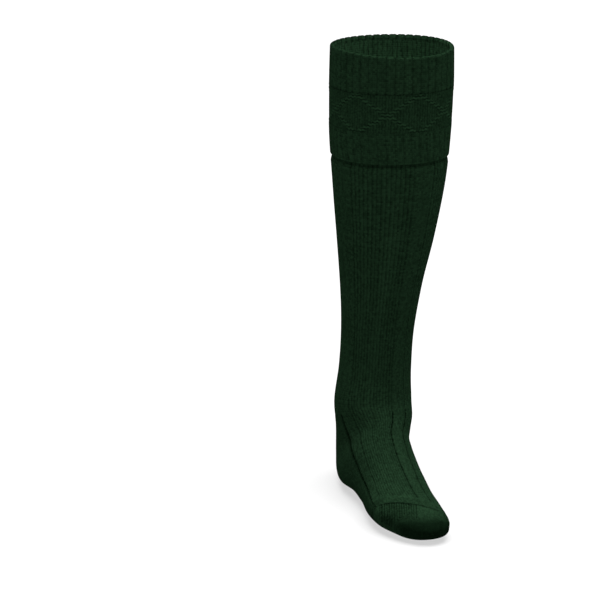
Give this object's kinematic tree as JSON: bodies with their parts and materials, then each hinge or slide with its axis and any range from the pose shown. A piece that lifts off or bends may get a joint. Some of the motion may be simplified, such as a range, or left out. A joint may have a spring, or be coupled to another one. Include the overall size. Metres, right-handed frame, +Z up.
{
  "type": "kilt hose sock",
  "caption": "Knee-high knitted kilt hose sock in its worn form, with a turned-down patterned cuff, ribbed leg and instep, plain heel, sole and toe.",
  "frame": {"origin": "middle of the mouth, level with the top of the rolled fold in front, where the leg goes in", "axes": "+Z up the leg and out of the mouth; -Y ahead, the way the toes point; -X to the inner side of the leg and +X to its outer side"},
  "size_m": [0.126, 0.257, 0.4393],
  "materials": {
    "cuff_wool": "matt knitted wool in broad ribs",
    "lattice_wool": "matt knitted wool with raised lattice lines",
    "leg_wool": "matt knitted wool in fine ribs",
    "plain_wool": "matt plain-knitted wool"
  },
  "bodies": {
    "root": {"turnover_rib_band": "cuff_wool", "turnover_lattice_band": "lattice_wool", "turnover_hem_band": "cuff_wool", "leg": "leg_wool", "instep": "leg_wool", "heel": "plain_wool", "sole": "plain_wool", "toe_cap": "plain_wool"}
  },
  "joints": []
}
